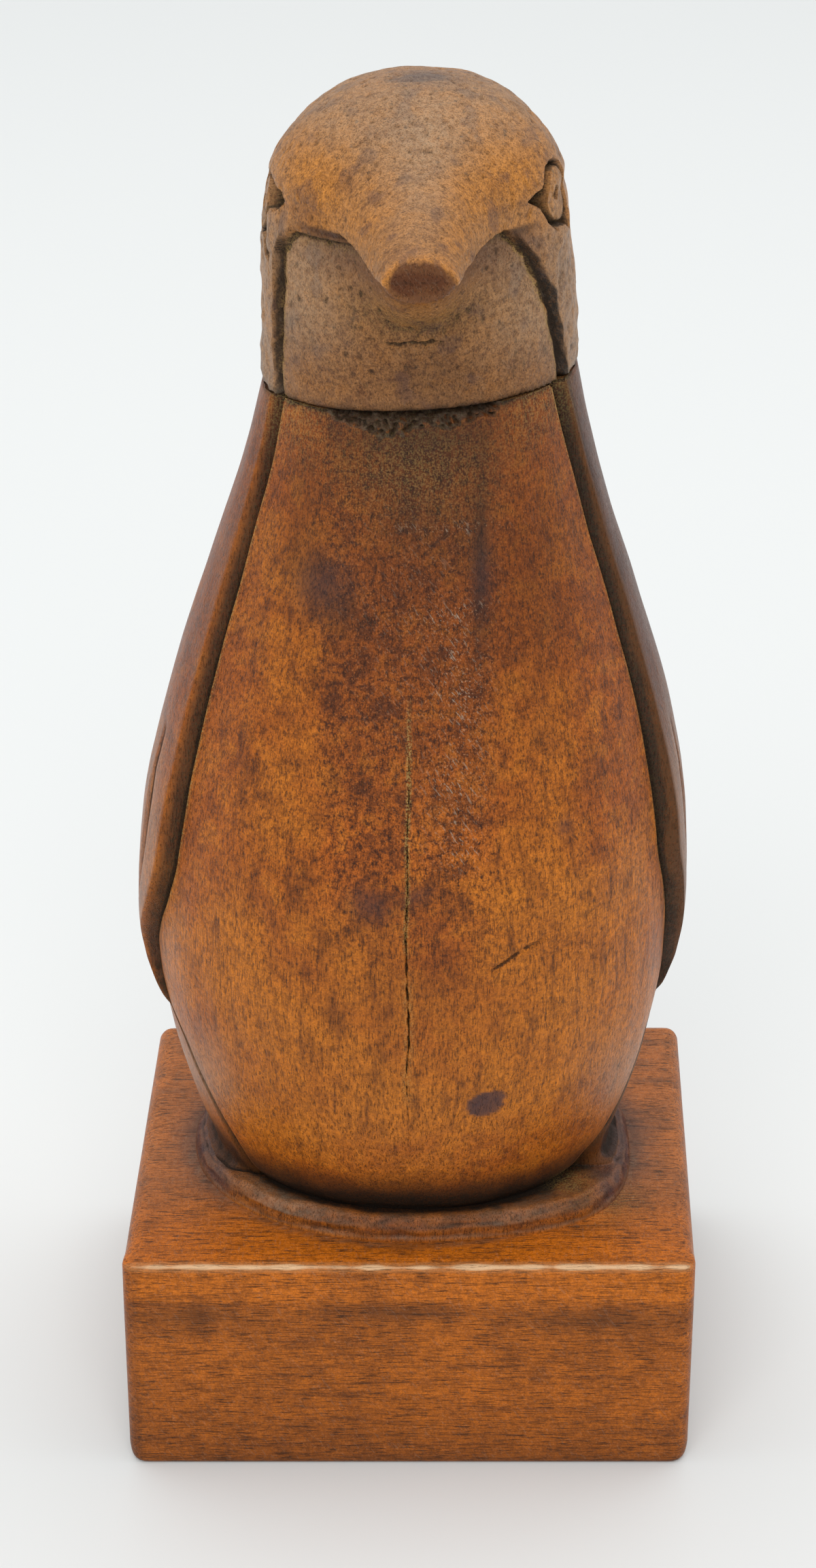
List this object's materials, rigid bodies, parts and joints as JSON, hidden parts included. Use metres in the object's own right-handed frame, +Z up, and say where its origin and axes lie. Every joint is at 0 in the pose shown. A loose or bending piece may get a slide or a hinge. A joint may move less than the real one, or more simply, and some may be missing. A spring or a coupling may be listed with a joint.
{
  "type": "carved wooden penguin",
  "caption": "Standing carved wooden penguin with folded flippers and an outstretched beak, on a rectangular wooden plinth.",
  "frame": {"origin": "centre of the plinth's flat underside", "axes": "+Z up from the underside to the crown, -Y the way the bird faces, +X to the viewer's right"},
  "size_m": [0.0642, 0.0573, 0.153],
  "materials": {
    "head_wood": "waxed carved wood, grey-brown with ochre patches, satin, with dust in the cuts",
    "body_wood": "waxed carved wood, reddish brown to orange-brown, satin, with dark pores, stains and dust in the cuts",
    "plinth_wood": "waxed sawn wood, orange-brown with dark streaks along the grain, satin, with rubbed bright edges"
  },
  "bodies": {
    "root": {"head": "head_wood", "body": "body_wood", "plinth": "plinth_wood"}
  },
  "joints": []
}
